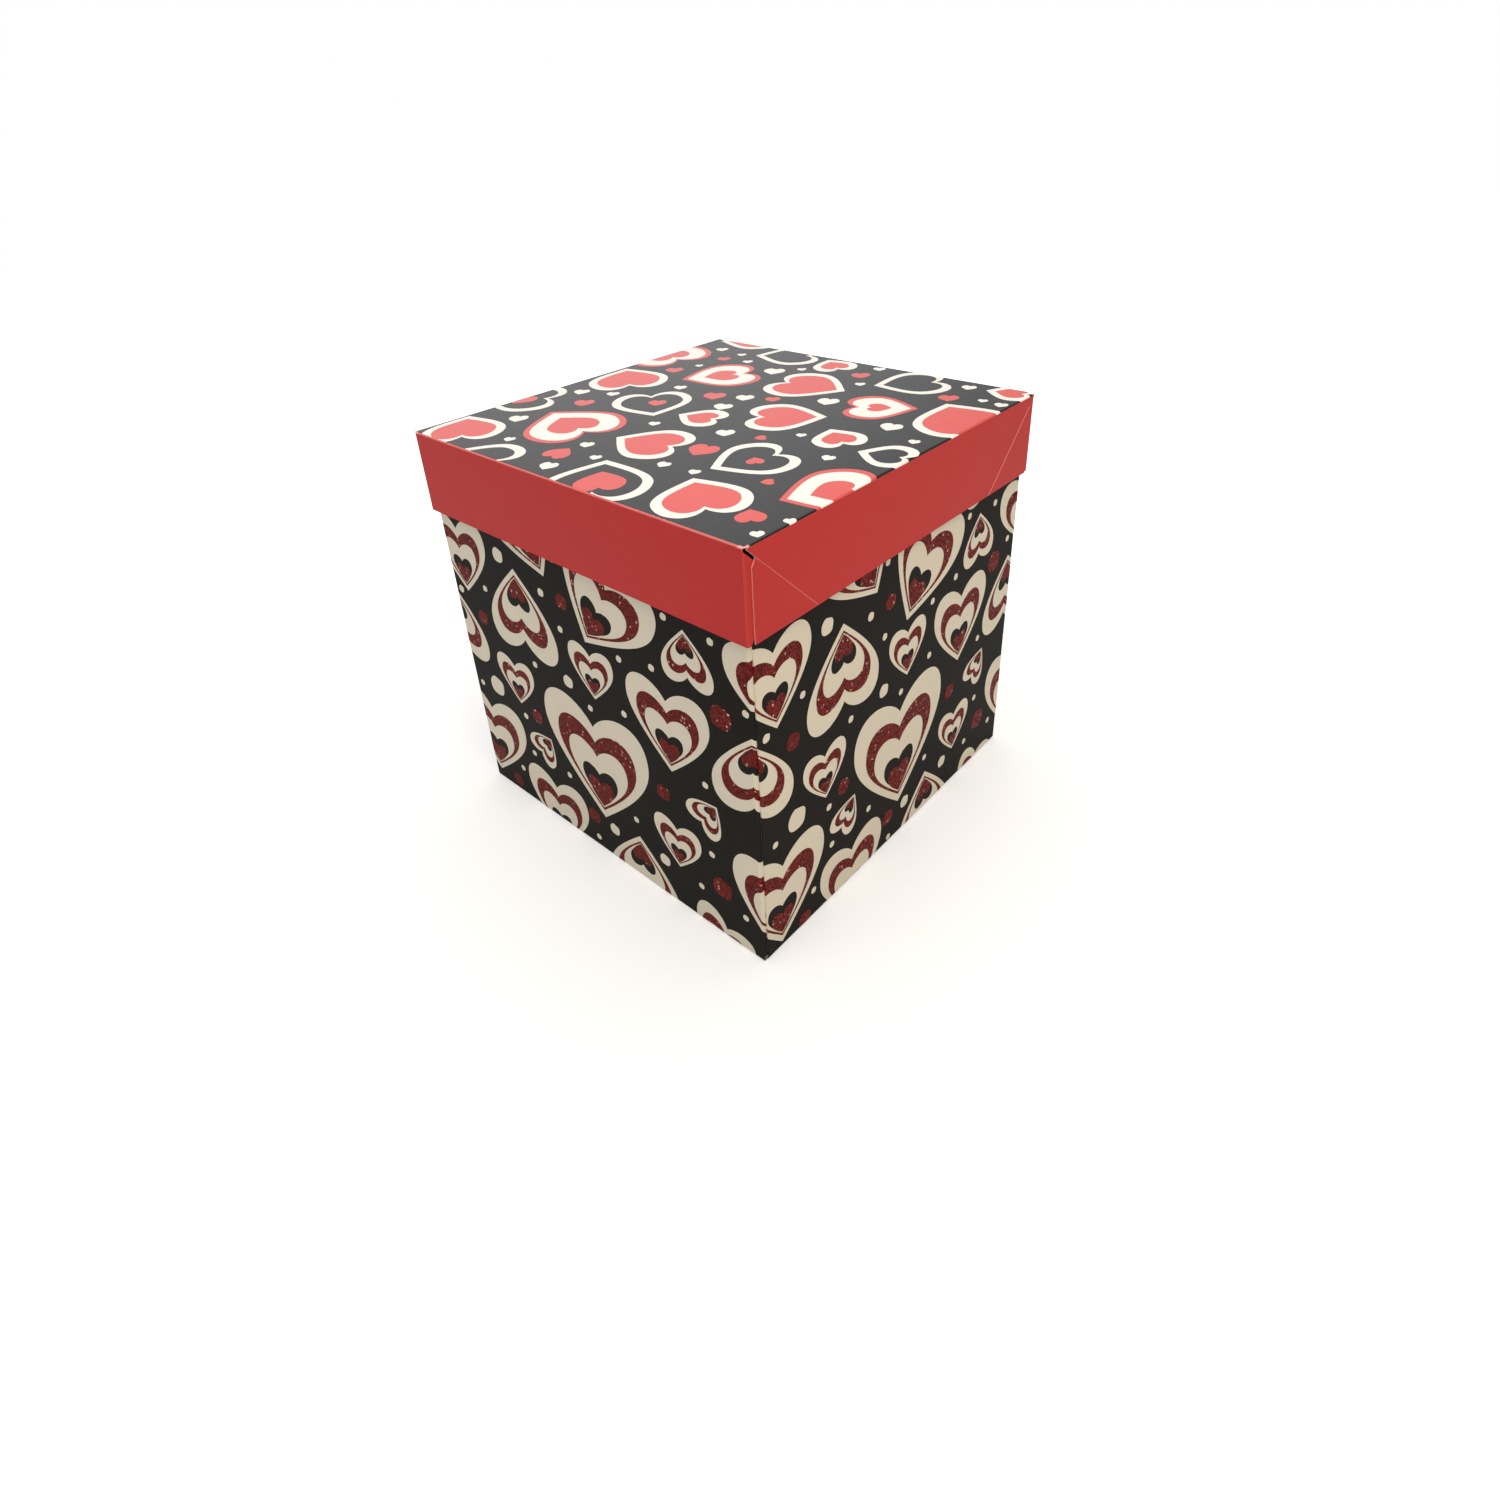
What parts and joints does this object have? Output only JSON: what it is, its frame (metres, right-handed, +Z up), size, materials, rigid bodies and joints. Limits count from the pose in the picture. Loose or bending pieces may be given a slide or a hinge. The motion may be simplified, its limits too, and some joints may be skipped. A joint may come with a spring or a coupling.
{
  "type": "gift box",
  "caption": "Square folding paperboard gift box with a lift-off lid, glued folding corners and a self-locking bottom, printed with hearts.",
  "frame": {"origin": "middle of the base's underside, on the surface that the box stands on", "axes": "+Z up, -Y out of the front wall, +X out of the right wall, so the pictured corner is at +X and -Y"},
  "size_m": [0.203, 0.203, 0.2],
  "materials": {
    "lid_red_board": "satin",
    "lid_top_print": "satin",
    "base_black_print": "satin",
    "bottom_board": "matte",
    "cream_ink": "satin",
    "white_ink": "satin",
    "red_ink": "satin",
    "red_glitter": "gloss"
  },
  "bodies": {
    "base": {"base_front_wall": "base_black_print", "base_right_wall": "base_black_print", "base_back_wall": "base_black_print", "base_left_wall": "base_black_print", "base_seam_flap": "base_black_print", "bottom_front_flap": "bottom_board", "bottom_back_flap": "bottom_board", "bottom_left_flap": "bottom_board", "bottom_right_flap": "bottom_board", "bottom_left_glue_tab": "bottom_board", "bottom_right_glue_tab": "bottom_board"},
    "lid": {"lid_top_panel": "lid_top_print", "lid_front_wall": "lid_red_board", "lid_back_wall": "lid_red_board", "lid_left_wall": "lid_red_board", "lid_right_wall": "lid_red_board", "lid_gusset_front_left": "lid_red_board", "lid_gusset_back_left": "lid_red_board", "lid_gusset_front_right": "lid_red_board", "lid_gusset_back_right": "lid_red_board", "lid_glue_flap_front_left": "lid_red_board", "lid_glue_flap_back_left": "lid_red_board", "lid_glue_flap_front_right": "lid_red_board", "lid_glue_flap_back_right": "lid_red_board"}
  },
  "joints": [
    {"name": "lid_lift", "type": "slide", "parent": "base", "child": "lid", "axis": [0, 0, 1], "range_m": [0, 0.08]}
  ]
}
